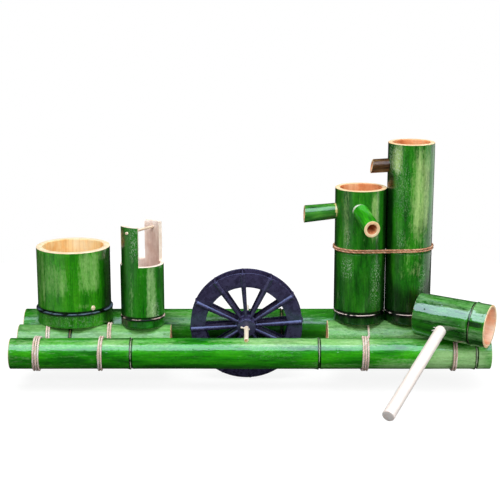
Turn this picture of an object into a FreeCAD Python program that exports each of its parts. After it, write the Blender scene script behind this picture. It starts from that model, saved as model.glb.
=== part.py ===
import FreeCAD, Part
import math
import os

V = FreeCAD.Vector
X_AXIS = V(1, 0, 0)
Z_AXIS = V(0, 0, 1)

# Bamboo cascade fountain on a raft of three culms, with a water wheel in a bay between two short
# middle culms. All sizes are in millimetres. X runs along the raft, Y runs back from the viewer and
# Z is up. The origin is on the plane under the culms, at mid length, below the middle culm's axis.

# Raft of culms. A place along the raft is a side, -1 left or 1 right, and a distance in from that
# end of the front culm
raft_length = 700.0
end_setback = 4.0
front_pole_r = 22.5
rear_pole_r = 28.5
middle_left_r = 25.0
middle_right_r = 28.0
pole_gap = 4.0
pole_wall = 6.0
front_nodes = ((-1, 177.4), (1, 249.2), (1, 21.5))
rear_nodes = ((-1, 170.0), (1, 301.0), (1, 16.0))
middle_left_nodes = ((-1, 83.0),)
middle_right_nodes = ((1, 25.0),)
diaphragm = 4.0

# Growth ring of a culm: the skin swells to a sharp rim, where the sheath of the leaf was cut off
ridge_height = 1.0
ridge_width = 5.0

# Twine lashings over the raft
twine_d = 3.0
twine_clear = 0.3
twine_pitch = 3.6
lashings = ((-1, 34.3), (-1, 128.8), (1, 187.8), (1, 56.8))
front_turns = (3, 2, 3, 2)
middle_turns = 1
twine_sides = 5
tie_d = 2.0
tie_pitch = 2.5
tie_turns = 2

# Square dowels of split culm through the facing walls, one beside each of the two inner lashings
dowel_side = 7.0
dowel_offset = 8.0
dowel_overhang = 4.0
fit_clear = 0.15

# Wide cup that stands on the middle and rear culms
cup_from_left = 84.0
cup_y = 34.0
cup_r = 55.0
cup_wall = 9.5
cup_height = 114.0
cup_ring = 22.0
cup_skirt_extra = 1.8

# Pail with two ears and a carrying bar
pail_from_left = 189.4
pail_y = 8.0
pail_r = 32.4
pail_wall = 5.0
pail_shoulder = 94.0
pail_ear = 59.0
pail_ring = 14.5
pail_ear_angle = 26.0
pail_ear_sweep = 59.0
pail_bar_d = 4.0
pail_bar_drop = 9.0
pail_bar_overhang = 3.0

# Medium tube with two spouts
mid_from_right = 186.6
mid_y = 12.2
mid_r = 37.0
mid_wall = 6.0
mid_height = 201.0

# Tall tube with one spout
tube_gap = 0.2
tall_y = 10.6
tall_r = 33.0
tall_wall = 5.5
tall_rise = 67.0
tall_height = mid_height + tall_rise

# Growth rings of both tubes, above their feet
tube_ring = 15.5
tube_upper_ring = 107.0
saddle_clear = 0.3
seat_clear = 0.3

# Square pegs of split culm that hold the uprights to the culms below. The tall tube's peg stands
# in front of the hose's way.
peg_side = 7.0
tall_peg_y = -9.0

# Spouts: each leaves its tube's skin at a turn about the tube, and runs its own way from there
left_spout_r = 12.2
left_spout_bore_r = 7.4
left_spout_length = 47.0
left_spout_drop = 35.0
left_spout_angle = 184.0
left_spout_yaw = 183.0
left_spout_slope = 5.5
left_spout_cut = 7.0
front_spout_r = 11.9
front_spout_bore_r = 7.2
front_spout_length = 48.0
front_spout_drop = 31.0
front_spout_angle = -93.0
front_spout_yaw = -75.0
front_spout_slope = 19.0
front_spout_cut = 12.0
tall_spout_r = 10.2
tall_spout_bore_r = 6.6
tall_spout_length = 25.0
tall_spout_drop = 34.0
tall_spout_angle = 183.0
tall_spout_yaw = 182.0
tall_spout_slope = 3.0
tall_spout_cut = 12.0
spout_tenon = 4.0

# Way of the pump's hose: up through a culm of the raft, then through the tall tube's rings
raft_hose_hole_r = 7.5
inlet_r = 6.5
knocked_hole_r = 16.0

# Water wheel
wheel_x = -5.3
wheel_bay_left = 28.5
wheel_bay_right = 36.1
wheel_y = 4.0
wheel_z = 51.2
wheel_r = 83.5
wheel_ring = 22.5
wheel_width = 22.0
wheel_plate = 2.4
wheel_rib = 1.2
spoke_count = 12
spoke_width = 5.0
spoke_angle = 4.0
blade = 2.2
blade_lip = 1.2
hub_r = 13.8
hub_overhang = 8.0
hub_flange = 3.0
spoke_setback = 1.0
axle_d = 6.8
axle_slope = 5.3
axle_run_clear = 0.08
axle_front = 68.0
axle_rear = 72.0
notch_clear = 0.2
axle_peg_d = 2.4
axle_peg_length = 14.0
axle_peg_short_end = 1.5
axle_peg_angle = 14.0
axle_peg_gap = 0.5

# Ladle that lies on the front culm
ladle_from_right = 103.6
ladle_r = 31.0
ladle_wall = 4.5
ladle_length = 107.0
ladle_yaw = 27.4
ladle_slope = 2.9
ladle_node = 23.5
ladle_mouth_behind = 9.6
handle_from_mouth = 44.0
handle_r = 8.7
handle_length = 202.0
handle_yaw = -116.0
handle_slope = 19.5
handle_tenon_r = 5.0
handle_shoulder = 1.5
handle_edge = 1.5

# Places worked out from the sizes above
front_y = -(middle_right_r + pole_gap + front_pole_r)
rear_y = middle_right_r + pole_gap + rear_pole_r
raft_left = -raft_length / 2
raft_right = raft_length / 2
middle_left_end = wheel_x - wheel_r - blade_lip - wheel_bay_left
middle_right_end = wheel_x + wheel_r + blade_lip + wheel_bay_right
cup_foot = 2 * middle_left_r + seat_clear
pail_foot = 2 * middle_left_r + seat_clear
tube_foot = 2 * middle_right_r + seat_clear


def along_raft(side, inset):
    """X of a place that lies an inset in from one end of the front culm."""
    return side * (raft_length / 2 - inset)


lashing_x = [along_raft(*spot) for spot in lashings]
cup_x = along_raft(-1, cup_from_left)
pail_x = along_raft(-1, pail_from_left)
mid_x = along_raft(1, mid_from_right)
tall_x = mid_x + mid_r + tall_r + 2 * ridge_height + tube_gap
ladle_x = along_raft(1, ladle_from_right)


def rad(degrees):
    return math.radians(degrees)


def place(shape, origin, direction):
    """Lay a shape made along Z so that it starts at origin and runs along direction."""
    moved = shape.copy()
    frame = FreeCAD.Placement(origin, FreeCAD.Rotation(Z_AXIS, direction))
    moved.Placement = frame.multiply(moved.Placement)
    return moved


def rod(origin, direction, radius, length):
    return Part.makeCylinder(radius, length, origin, direction)


def culm(radius, wall, length, nodes, lower_extra=0.0):
    """Hollow culm along Z: each node is (height, hole radius of its diaphragm)."""
    heights = [h for h, hole in nodes]
    foot_r = radius + lower_extra
    outline = [V(0, 0, 0), V(foot_r, 0, 0)]
    for below_r, h in zip([foot_r] + [radius] * len(heights), heights):
        outline += [V(below_r, 0, h - ridge_width), V(below_r + ridge_height, 0, h), V(radius, 0, h)]
    outline += [V(radius, 0, length), V(0, 0, length), V(0, 0, 0)]
    solid = Part.Face(Part.makePolygon(outline)).revolve(V(0, 0, 0), Z_AXIS, 360)
    bore_r = radius - wall
    starts = [0.0] + [h + diaphragm / 2 for h in heights]
    ends = [h - diaphragm / 2 for h in heights] + [length]
    for low, high in zip(starts, ends):
        solid = solid.cut(rod(V(0, 0, low), Z_AXIS, bore_r, high - low))
    for h, hole in nodes:
        if hole > 0:
            solid = solid.cut(rod(V(0, 0, h - diaphragm), Z_AXIS, hole, 2 * diaphragm))
    return solid


def pole(radius, x0, x1, y, nodes):
    """Culm of the raft, lying along X with its underside at Z = 0."""
    body = culm(radius, pole_wall, x1 - x0, [(along_raft(*node) - x0, 0) for node in nodes])
    return place(body, V(x0, y, radius), X_AXIS)


# Axle and wheel directions
axle_dir = V(0, math.cos(rad(axle_slope)), math.sin(rad(axle_slope)))
wheel_centre = V(wheel_x, wheel_y, wheel_z)


def along_axle(distance):
    return wheel_centre + axle_dir * distance


axle_start = along_axle(-axle_front)
axle_length = axle_front + axle_rear


def notched(shape):
    """Groove in the crest of a culm where the axle lies."""
    groove = rod(axle_start, axle_dir, axle_d / 2 + notch_clear, axle_length)
    lift = groove.copy()
    lift.translate(V(0, 0, axle_d))
    return shape.cut(groove).cut(lift)


dowel_z = front_pole_r
dowel_xs = [x - dowel_offset for x in lashing_x[1:3]]
dowel_start_y = front_y + front_pole_r - pole_wall - dowel_overhang
dowel_length = rear_y - rear_pole_r + pole_wall + dowel_overhang - dowel_start_y


def dowel(x, extra=0.0):
    side = dowel_side + 2 * extra
    corner = V(x - side / 2, dowel_start_y - extra, dowel_z - side / 2)
    return Part.makeBox(side, dowel_length + 2 * extra, side, corner)


# Pegs under the uprights: place in plan, level of the upright's ring, radius of the culm below
seat_pegs = [
    (cup_x, 0.0, cup_foot + cup_ring, middle_left_r),
    (pail_x, 0.0, pail_foot + pail_ring, middle_left_r),
    (mid_x, 0.0, tube_foot + tube_ring, middle_right_r),
    (tall_x, tall_peg_y, tube_foot + tube_ring, middle_right_r),
]


def seat_peg(spot, extra=0.0):
    """Peg from the inside of the culm's wall to the top of the upright's foot ring."""
    x, y, ring_z, radius = spot
    off = abs(y) + peg_side / 2
    low = radius + math.sqrt((radius - pole_wall) ** 2 - off ** 2) - extra
    side = peg_side + 2 * extra
    corner = V(x - side / 2, y - side / 2, low)
    return Part.makeBox(side, side, ring_z + diaphragm / 2 + extra - low, corner)


def raft_culms():
    """The four culms of the raft with their dowel holes, peg holes and axle notches."""
    rear = pole(rear_pole_r, raft_left + end_setback, raft_right - end_setback, rear_y, rear_nodes)
    left = pole(middle_left_r, raft_left + end_setback, middle_left_end, 0, middle_left_nodes)
    right = pole(middle_right_r, middle_right_end, raft_right - end_setback, 0, middle_right_nodes)
    right = right.cut(rod(V(tall_x, tall_y, 0), Z_AXIS, raft_hose_hole_r, tube_foot))
    culms = {
        "front_pole": notched(pole(front_pole_r, raft_left, raft_right, front_y, front_nodes)),
        "rear_pole": notched(rear),
        "middle_pole_left": left,
        "middle_pole_right": right,
    }
    for name in culms:
        for x in dowel_xs:
            culms[name] = culms[name].cut(dowel(x, fit_clear))
        for spot in seat_pegs:
            culms[name] = culms[name].cut(seat_peg(spot, fit_clear))
    return culms


def lashing_route(index):
    """Stations of one lashing, and the culm and stretch of X that each of its parts covers.

    The twine winds round the front culm, passes below the middle one and winds round it, then
    goes over the rear culm and ends below it. Angles are degrees from the culm's crest, backwards.
    """
    middle_r = middle_left_r if lashing_x[index] < 0 else middle_right_r
    last = 180 * (2 * front_turns[index]) - 270
    middle_last = -270 - 360 * middle_turns
    legs = (
        (front_y, front_pole_r, 1, list(range(-270, last + 1, 180))),
        (0.0, middle_r, -1, [-180] + list(range(-270, middle_last - 1, -180))),
        (rear_y, rear_pole_r, 1, [90, 180]),
    )
    x = lashing_x[index]
    stations = []
    spans = []
    for y, r, way, angles in legs:
        wrap_r = r + twine_d / 2 + twine_clear
        advance = twine_pitch / (2 * math.pi * wrap_r)
        before = angles[0] - way * (90 if way < 0 else 180)
        start = x
        for angle in angles:
            x += twine_pitch * (abs(angle - before) / 360 if stations else 0)
            before = angle
            turn = rad(angle)
            p = V(x, y + wrap_r * math.sin(turn), r + wrap_r * math.cos(turn))
            stations.append((p, V(advance, way * math.cos(turn), -way * math.sin(turn))))
        spans.append((y, r, start - twine_d, x + twine_d))
    return stations, spans


def straddle(shape):
    """Saddle in an upright's foot over the rear culm, with room for the twine that runs below."""
    cutter = rod(V(raft_left, rear_y, rear_pole_r), X_AXIS, rear_pole_r + saddle_clear, raft_length)
    shape = shape.cut(cutter)
    for index in range(len(lashing_x)):
        for y, r, x0, x1 in lashing_route(index)[1]:
            room = rod(V(x0, y, r), X_AXIS, r + twine_d + 2 * twine_clear, x1 - x0)
            if room.BoundBox.intersect(shape.BoundBox):
                shape = shape.cut(room)
    return shape


def wide_cup():
    body = culm(cup_r, cup_wall, cup_height, [(cup_ring, 0)], cup_skirt_extra)
    cup = straddle(place(body, V(cup_x, cup_y, cup_foot), Z_AXIS))
    return cup.cut(seat_peg(seat_pegs[0], fit_clear))


def sector(start, sweep, radius, low, high):
    """Wedge about Z from one angle through a sweep, both in degrees."""
    wedge = Part.makeCylinder(radius, high - low, V(0, 0, low), Z_AXIS, sweep)
    wedge.rotate(V(0, 0, 0), Z_AXIS, start)
    return wedge


pail_top = pail_shoulder + pail_ear
pail_bar_z = pail_top - pail_bar_drop
pail_ear_mid = 180 + pail_ear_angle + pail_ear_sweep / 2
pail_bar_dir = V(math.cos(rad(pail_ear_mid)), math.sin(rad(pail_ear_mid)), 0)


def pail():
    body = culm(pail_r, pail_wall, pail_top, [(pail_ring, 0)])
    gap = 180 - pail_ear_sweep
    for turn in (0, 180):
        start = 180 + pail_ear_angle + pail_ear_sweep + turn
        body = body.cut(sector(start, gap, 2 * pail_r, pail_shoulder, pail_top + 1))
    hole = rod(pail_bar_dir * (-2 * pail_r) + V(0, 0, pail_bar_z), pail_bar_dir,
               pail_bar_d / 2 + fit_clear, 4 * pail_r)
    body = place(body.cut(hole), V(pail_x, pail_y, pail_foot), Z_AXIS)
    return straddle(body).cut(seat_peg(seat_pegs[1], fit_clear))


def pail_bar():
    half = pail_r + pail_bar_overhang
    start = pail_bar_dir * (-half) + V(pail_x, pail_y, pail_foot + pail_bar_z)
    return rod(start, pail_bar_dir, pail_bar_d / 2, 2 * half)


def direction(yaw, slope):
    """Unit vector that points to yaw degrees about Z from +X and falls by slope degrees."""
    c = math.cos(rad(slope))
    return V(c * math.cos(rad(yaw)), c * math.sin(rad(yaw)), -math.sin(rad(slope)))


def surface_point(x, y, radius, turn, z):
    return V(x + radius * math.cos(rad(turn)), y + radius * math.sin(rad(turn)), z)


mid_top = tube_foot + mid_height
tall_top = tube_foot + tall_height
left_root = surface_point(mid_x, mid_y, mid_r, left_spout_angle, mid_top - left_spout_drop)
left_way = direction(left_spout_yaw, left_spout_slope)
front_root = surface_point(mid_x, mid_y, mid_r, front_spout_angle, mid_top - front_spout_drop)
front_way = direction(front_spout_yaw, front_spout_slope)
tall_root = surface_point(tall_x, tall_y, tall_r, tall_spout_angle, tall_top - tall_spout_drop)
tall_way = direction(tall_spout_yaw, tall_spout_slope)


def spout(root, way, wall, radius, bore_r, length, cut):
    """Small culm whose root passes through a tube's wall and whose lip is cut at a slant."""
    back = wall + spout_tenon
    reach = back + length + radius * math.tan(rad(cut))
    hollow = Part.makeCylinder(radius, reach).cut(Part.makeCylinder(bore_r, reach))
    body = place(hollow, root - way * back, way)
    up = way.cross(Z_AXIS).cross(way)
    up.normalize()
    face = way * math.cos(rad(cut)) + up * math.sin(rad(cut))
    waste = place(Part.makeCylinder(4 * radius, 4 * radius), root + way * length, face)
    return body.cut(waste)


def spout_hole(root, way, wall, root_r):
    """Hole in a tube's wall that takes the root of a spout."""
    back = wall + 2 * spout_tenon
    return rod(root - way * back, way, root_r + fit_clear, 2 * back)


def medium_tube():
    body = culm(mid_r, mid_wall, mid_height, [(tube_ring, 0), (tube_upper_ring, 0)])
    tube = straddle(place(body, V(mid_x, mid_y, tube_foot), Z_AXIS))
    tube = tube.cut(seat_peg(seat_pegs[2], fit_clear))
    tube = tube.cut(spout_hole(left_root, left_way, mid_wall, left_spout_r))
    return tube.cut(spout_hole(front_root, front_way, mid_wall, front_spout_r))


def tall_tube():
    rings = [(tube_ring, inlet_r), (tube_upper_ring, knocked_hole_r)]
    body = culm(tall_r, tall_wall, tall_height, rings)
    tube = straddle(place(body, V(tall_x, tall_y, tube_foot), Z_AXIS))
    tube = tube.cut(seat_peg(seat_pegs[3], fit_clear))
    return tube.cut(spout_hole(tall_root, tall_way, tall_wall, tall_spout_r))


def biarc(p0, t0, p1, t1):
    """Two arcs that leave p0 along t0 and reach p1 along t1."""
    v = p1 - p0
    t = t0 + t1
    a = 2 * (1 - t0.dot(t1))
    b = v.dot(t)
    d = (-b + math.sqrt(b * b + a * v.dot(v))) / a if a > 1e-6 else v.dot(v) / (2 * b)
    q0 = p0 + t0 * d
    q1 = p1 - t1 * d
    m = (q0 + q1) * 0.5
    edges = []
    for start, corner, end in ((p0, q0, m), (m, q1, p1)):
        chord = (end - start).Length / 2
        w = chord / (corner - start).Length
        middle = (start + corner * (2 * w) + end) * (1 / (2 + 2 * w))
        straight = (corner - (start + end) * 0.5).Length < 1e-3
        edges.append(Part.LineSegment(start, end).toShape() if straight
                     else Part.Arc(start, middle, end).toShape())
    return edges


def winding_path(stations, diameter):
    """Line of a twine through stations, each a point and the way it runs there."""
    stations = [(p, t * (1 / t.Length)) for p, t in stations]
    p0, t0 = stations[0]
    p1, t1 = stations[-1]
    edges = [Part.LineSegment(p0 - t0 * diameter, p0).toShape()]
    for (a, ta), (b, tb) in zip(stations, stations[1:]):
        edges += biarc(a, ta, b, tb)
    edges.append(Part.LineSegment(p1, p1 + t1 * diameter).toShape())
    return Part.Wire(edges)


def winding(path, diameter):
    """One tube of twine along a line that starts straight."""
    start, ahead = path.OrderedVertexes[0].Point, path.OrderedVertexes[1].Point
    t0 = ahead - start
    t0.normalize()
    side = t0.cross(Z_AXIS if abs(t0.x) > 0.7 else X_AXIS)
    side.normalize()
    other = t0.cross(side)
    corners = [2 * math.pi * k / twine_sides for k in range(twine_sides + 1)]
    profile = Part.makePolygon([start + (side * math.cos(c) + other * math.sin(c)) * (diameter / 2)
                                for c in corners])
    return path.makePipeShell([profile], True, False)


def least_gap(path, diameter):
    """Least clear distance of a winding to itself, from points along it."""
    step = diameter / 2
    count = int(path.Length / step)
    points = path.discretize(Number=count)
    apart = int(4 * math.pi)
    best = 1e9
    for i in range(0, count, 2):
        for j in range(i + apart, count, 2):
            best = min(best, (points[i] - points[j]).Length)
    return best - diameter


def tie_route():
    """Stations of the twine that runs round both tubes just above their upper rings."""
    r_mid = mid_r + tie_d / 2 + twine_clear
    r_tall = tall_r + tie_d / 2 + twine_clear
    a = V(mid_x, mid_y, 0)
    b = V(tall_x, tall_y, 0)
    span = (b - a).Length
    along = (b - a) * (1 / span)
    out = V(along.y, -along.x, 0)
    lean = math.asin((r_mid - r_tall) / span)
    front = out * math.cos(lean) + along * math.sin(lean)
    back = out * -math.cos(lean) + along * math.sin(lean)
    forth = along * math.cos(lean) - out * math.sin(lean)
    home = along * -math.cos(lean) - out * math.sin(lean)
    straight = span * math.cos(lean)
    spots = (
        (a + back * r_mid, home, straight),
        (a - along * r_mid, out, r_mid * (math.pi / 2 + lean)),
        (a + front * r_mid, forth, r_mid * (math.pi / 2 + lean)),
        (b + front * r_tall, forth, straight),
        (b + along * r_tall, out * -1, r_tall * (math.pi / 2 - lean)),
        (b + back * r_tall, home, r_tall * (math.pi / 2 - lean)),
    )
    rise = tie_pitch / sum(length for p, t, length in spots)
    z = tube_foot + tube_upper_ring + tie_d
    stations = []
    for turn in range(tie_turns):
        for p, t, length in spots:
            if stations:
                z += rise * length
            stations.append((p + V(0, 0, z), t + V(0, 0, rise)))
    return stations


def on_spoke(shape, number):
    """Turn a shape made along X to the place of one spoke."""
    turned = shape.copy()
    turned.rotate(V(0, 0, 0), Z_AXIS, -(spoke_angle + 360 * number / spoke_count))
    return turned


def wheel_side_plate(side):
    """Side plate of the wheel: a flat ring and a hub disc joined by ribs that run to the rim."""
    ring = Part.makeCylinder(wheel_r, wheel_plate)
    plate = ring.cut(Part.makeCylinder(wheel_r - wheel_ring, wheel_plate))
    plate = plate.fuse(Part.makeCylinder(hub_r + hub_flange, wheel_plate))
    spoke = Part.makeBox(wheel_r - hub_r - spoke_setback, spoke_width, wheel_plate + wheel_rib,
                         V(hub_r, -spoke_width / 2, 0))
    for number in range(spoke_count):
        plate = plate.fuse(on_spoke(spoke, number))
    bore = Part.makeCylinder(hub_r + fit_clear, 4 * wheel_plate, V(0, 0, -wheel_plate))
    plate = plate.cut(bore).removeSplitter()
    if side < 0:
        plate = plate.mirror(V(0, 0, 0), Z_AXIS)
    return place(plate, along_axle(side * (half_width - wheel_plate)), axle_dir)


half_width = wheel_width / 2


def wheel_blades():
    """Flat blades between the side plates, from the hub to just past the rim."""
    inner = hub_r + fit_clear
    flat = Part.makeBox(wheel_r + blade_lip - inner, blade, wheel_width - 2 * wheel_plate,
                        V(inner, -blade / 2, -half_width + wheel_plate))
    blades = [on_spoke(flat, number) for number in range(spoke_count)]
    return place(Part.makeCompound(blades), wheel_centre, axle_dir)


hub_half = half_width + wheel_rib + hub_overhang


def wheel_hub():
    hub = Part.makeCylinder(hub_r, 2 * hub_half)
    hub = hub.cut(Part.makeCylinder(axle_d / 2 + axle_run_clear, 2 * hub_half))
    return place(hub, along_axle(-hub_half), axle_dir)


def axle_pegs(extra=0.0):
    """Two small pegs through the axle, one at each end of the hub, that keep the wheel in place."""
    tilt = rad(axle_peg_angle)
    way = V(-math.cos(tilt), -math.sin(tilt) * axle_dir.z, math.sin(tilt) * axle_dir.y)
    reach = hub_half + axle_peg_gap + axle_peg_d / 2
    back = axle_d / 2 + axle_peg_short_end
    return [rod(along_axle(side * reach) - way * (back + extra), way,
                axle_peg_d / 2 + extra, axle_peg_length + 2 * extra) for side in (-1, 1)]


def wheel_axle():
    body = rod(axle_start, axle_dir, axle_d / 2, axle_length)
    for hole in axle_pegs(fit_clear):
        body = body.cut(hole)
    return body


def lashing_paths():
    return [winding_path(lashing_route(index)[0], twine_d) for index in range(len(lashing_x))]


def rest_height(x, y, way, reach, points):
    """Height of an axis through (x, y), along way, that keeps its reach from every point below it."""
    side = Z_AXIS.cross(way)
    side.normalize()
    up = way.cross(side)
    heights = []
    for point in points:
        off = point - V(x, y, 0)
        across = off.dot(side)
        if abs(across) < reach:
            heights.append((off.dot(up) + math.sqrt(reach ** 2 - across ** 2)) / up.z)
    return max(heights)


# The ladle lies across the front culm, on the twine of the last lashing
ladle_way = direction(-ladle_yaw, ladle_slope)
ladle_y = front_y + ladle_mouth_behind
last_lashing = lashing_paths()[-1]
rest_points = last_lashing.discretize(Distance=twine_d / 4)
ladle_reach = ladle_r + twine_d / 2 + seat_clear
ladle_mouth = V(ladle_x, ladle_y, rest_height(ladle_x, ladle_y, ladle_way, ladle_reach, rest_points))

handle_point = ladle_mouth + ladle_way * handle_from_mouth
handle_way = direction(handle_yaw, handle_slope)
handle_way = handle_way - ladle_way * handle_way.dot(ladle_way)
handle_way.normalize()


def ladle_cup():
    body = culm(ladle_r, ladle_wall, ladle_length, [(ladle_node, 0)])
    body.rotate(V(0, 0, 0), X_AXIS, 180)
    body.translate(V(0, 0, ladle_length))
    cup = place(body, ladle_mouth, ladle_way)
    near = rod(handle_point, handle_way, handle_r + fit_clear, 2 * ladle_r)
    far = rod(handle_point, handle_way * -1, handle_tenon_r + fit_clear, 2 * ladle_r)
    return cup.cut(near).cut(far)


def ladle_handle():
    """Round stick with a tenon in the cup's far wall and a bevelled free end."""
    inside = ladle_r - ladle_wall - handle_shoulder
    length = inside + ladle_r + handle_length
    shaft = Part.makeCylinder(handle_r, length)
    rim = [e for e in shaft.Edges if e.Curve.TypeId == "Part::GeomCircle" and e.BoundBox.ZMin > 1]
    shaft = shaft.makeChamfer(handle_edge, rim)
    tenon = Part.makeCylinder(handle_tenon_r, ladle_wall + handle_shoulder + 1,
                              V(0, 0, -ladle_wall - handle_shoulder))
    return place(shaft.fuse(tenon), handle_point - handle_way * inside, handle_way)


def export(name, shape):
    solids = shape.Solids
    whole = solids[0] if len(solids) == 1 else Part.makeCompound(solids)
    whole.exportStep(os.path.join("parts", name + ".step"))
    print(name, len(solids), "solid(s)", round(whole.Volume / 1000, 2), "cm3", whole.isValid())


def export_windings(name, paths, diameter):
    for number, path in enumerate(paths, 1):
        print(name, number, "least gap to itself", round(least_gap(path, diameter), 2))
    export(name, Part.makeCompound([winding(path, diameter) for path in paths]))


def main():
    os.makedirs("parts", exist_ok=True)
    for name, shape in raft_culms().items():
        export(name, shape)
    export("raft_dowels", Part.makeCompound([dowel(x) for x in dowel_xs]))
    export("seat_pegs", Part.makeCompound([seat_peg(spot) for spot in seat_pegs]))
    export_windings("raft_lashings", lashing_paths(), twine_d)
    export_windings("tube_tie", [winding_path(tie_route(), tie_d)], tie_d)
    export("wide_cup", wide_cup())
    export("pail", pail())
    export("pail_bar", pail_bar())
    export("medium_tube", medium_tube())
    export("tall_tube", tall_tube())
    export("left_spout", spout(left_root, left_way, mid_wall, left_spout_r, left_spout_bore_r,
                               left_spout_length, left_spout_cut))
    export("front_spout", spout(front_root, front_way, mid_wall, front_spout_r, front_spout_bore_r,
                                front_spout_length, front_spout_cut))
    export("tall_spout", spout(tall_root, tall_way, tall_wall, tall_spout_r, tall_spout_bore_r,
                               tall_spout_length, tall_spout_cut))
    export("wheel_front_plate", wheel_side_plate(-1))
    export("wheel_rear_plate", wheel_side_plate(1))
    export("wheel_blades", wheel_blades())
    export("wheel_hub", wheel_hub())
    export("wheel_axle", wheel_axle())
    export("axle_pegs", Part.makeCompound(axle_pegs()))
    export("ladle_cup", ladle_cup())
    export("ladle_handle", ladle_handle())


main()
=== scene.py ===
import math

import bpy
import bmesh
import numpy as np
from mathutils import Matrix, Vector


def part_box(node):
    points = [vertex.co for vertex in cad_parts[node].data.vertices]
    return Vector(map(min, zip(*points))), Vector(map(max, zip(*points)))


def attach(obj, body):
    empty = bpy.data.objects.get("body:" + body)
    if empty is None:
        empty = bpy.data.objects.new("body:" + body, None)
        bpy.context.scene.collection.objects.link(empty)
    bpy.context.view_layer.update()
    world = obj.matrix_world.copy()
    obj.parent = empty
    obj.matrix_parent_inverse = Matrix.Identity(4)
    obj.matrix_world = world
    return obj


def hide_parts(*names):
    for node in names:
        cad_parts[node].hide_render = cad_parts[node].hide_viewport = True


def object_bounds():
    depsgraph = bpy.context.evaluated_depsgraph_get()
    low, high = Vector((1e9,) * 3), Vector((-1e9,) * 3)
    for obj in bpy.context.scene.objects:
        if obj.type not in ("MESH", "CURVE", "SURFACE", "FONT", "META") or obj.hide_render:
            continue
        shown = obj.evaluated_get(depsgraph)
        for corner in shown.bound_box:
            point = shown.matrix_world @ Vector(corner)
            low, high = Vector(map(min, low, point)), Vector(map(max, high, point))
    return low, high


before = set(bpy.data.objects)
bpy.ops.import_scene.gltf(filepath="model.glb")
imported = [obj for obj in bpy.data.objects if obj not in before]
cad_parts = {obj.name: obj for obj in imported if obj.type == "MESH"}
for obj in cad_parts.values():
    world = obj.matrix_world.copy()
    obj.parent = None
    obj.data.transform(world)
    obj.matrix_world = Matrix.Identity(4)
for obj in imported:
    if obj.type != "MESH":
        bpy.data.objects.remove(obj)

cad_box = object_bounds()

# Studio: camera, pale floor and soft lamps.
# The camera stands 1.86 m in front of the raft and looks 13 degrees down through a long lens. The
# floor lies just below the wheel and is white to the eye, and wet skins mirror a darker room.
FLOOR_Z = -0.036


def linear(code):
    """Linear RGBA of an sRGB hex colour such as "#26a005"."""
    parts = np.array([int(code[i:i + 2], 16) for i in (1, 3, 5)]) / 255
    parts = np.where(parts <= 0.04045, parts / 12.92, ((parts + 0.055) / 1.055) ** 2.4)
    return (*parts.tolist(), 1.0)


def add(tree, kind, *values, out=0, stops=(), **settings):
    """Add a shader node and give its output out. Values go to its sockets in their order. A setting
    is one of the node's own, or goes to the socket of that name, or to socket N as inN. What comes
    from another node is linked, and a hex code is a colour. Stops are a ramp's (place, colour)."""
    made = tree.nodes.new("ShaderNode" + kind)
    given = dict(enumerate(values))
    for key, value in settings.items():
        if hasattr(made, key):
            setattr(made, key, value)
        else:
            given[int(key[2:]) if key.startswith("in") else key.replace("_", " ")] = value
    for key, value in given.items():
        if isinstance(value, bpy.types.NodeSocket):
            tree.links.new(value, made.inputs[key])
        else:
            made.inputs[key].default_value = linear(value) if isinstance(value, str) else value
    for _ in stops[2:]:
        made.color_ramp.elements.new(0.5)
    for number, (place, code) in enumerate(stops):
        made.color_ramp.elements[number].position = place
        made.color_ramp.elements[number].color = linear(code)
    return made.outputs[out]


def new_material(name):
    """Empty material, its node tree and the socket that its surface goes to."""
    made = bpy.data.materials.new(name)
    made.use_nodes = True
    made.node_tree.nodes.clear()
    return made, made.node_tree, made.node_tree.nodes.new("ShaderNodeOutputMaterial").inputs[0]


def shown(tree, seen, mirrored, unseen):
    """Strength of a surface that is seen by the camera, mirrored in skins, and unseen where it only
    lights: max(seen * camera or glass, unseen + (mirrored - unseen) * mirror)."""
    path = add(tree, "LightPath").node.outputs
    eye = add(tree, "Math", path["Is Camera Ray"], path["Is Transmission Ray"], operation="MAXIMUM")
    eye = add(tree, "Math", eye, seen, operation="MULTIPLY")
    level = add(tree, "Math", path["Is Glossy Ray"], mirrored - unseen, unseen, operation="MULTIPLY_ADD")
    return add(tree, "Math", eye, level, operation="MAXIMUM")


scene = bpy.context.scene
scene.view_settings.view_transform = "Standard"
camera = bpy.data.objects.new("camera", bpy.data.cameras.new("camera"))
camera.data.lens = 93.15
camera.data.sensor_width = 36.0
camera.location = (0, -1.8617, 0.5968)
camera.rotation_euler = (math.radians(90 - 13.06), 0, 0)
scene.collection.objects.link(camera)
scene.camera = camera

scene.world = bpy.data.worlds.new("studio")
scene.world.use_nodes = True
tree = scene.world.node_tree
tree.nodes.clear()
back = add(tree, "Background", "#ffffff", shown(tree, 1.0, 0.02, 0.16))
tree.links.new(back, tree.nodes.new("ShaderNodeOutputWorld").inputs[0])


def lamp(name, place, aim, width, height, power, lights=True, mirrors=True, tint="#ffffff"):
    """Rectangular soft lamp at place that faces aim. It lights skins, is mirrored by them, or both."""
    data = bpy.data.lights.new(name, "AREA")
    data.shape = "RECTANGLE"
    data.size = width
    data.size_y = height
    data.energy = power
    data.color = linear(tint)[:3]
    made = bpy.data.objects.new(name, data)
    scene.collection.objects.link(made)
    made.location = place
    away = np.array(aim, float) - np.array(place, float)
    flat = math.hypot(away[0], away[1])
    made.rotation_euler = (math.pi / 2 + math.atan2(away[2], flat), 0, math.atan2(-away[0], away[1]))
    made.visible_diffuse = lights
    made.visible_glossy = mirrors
    made.visible_camera = False


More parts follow.
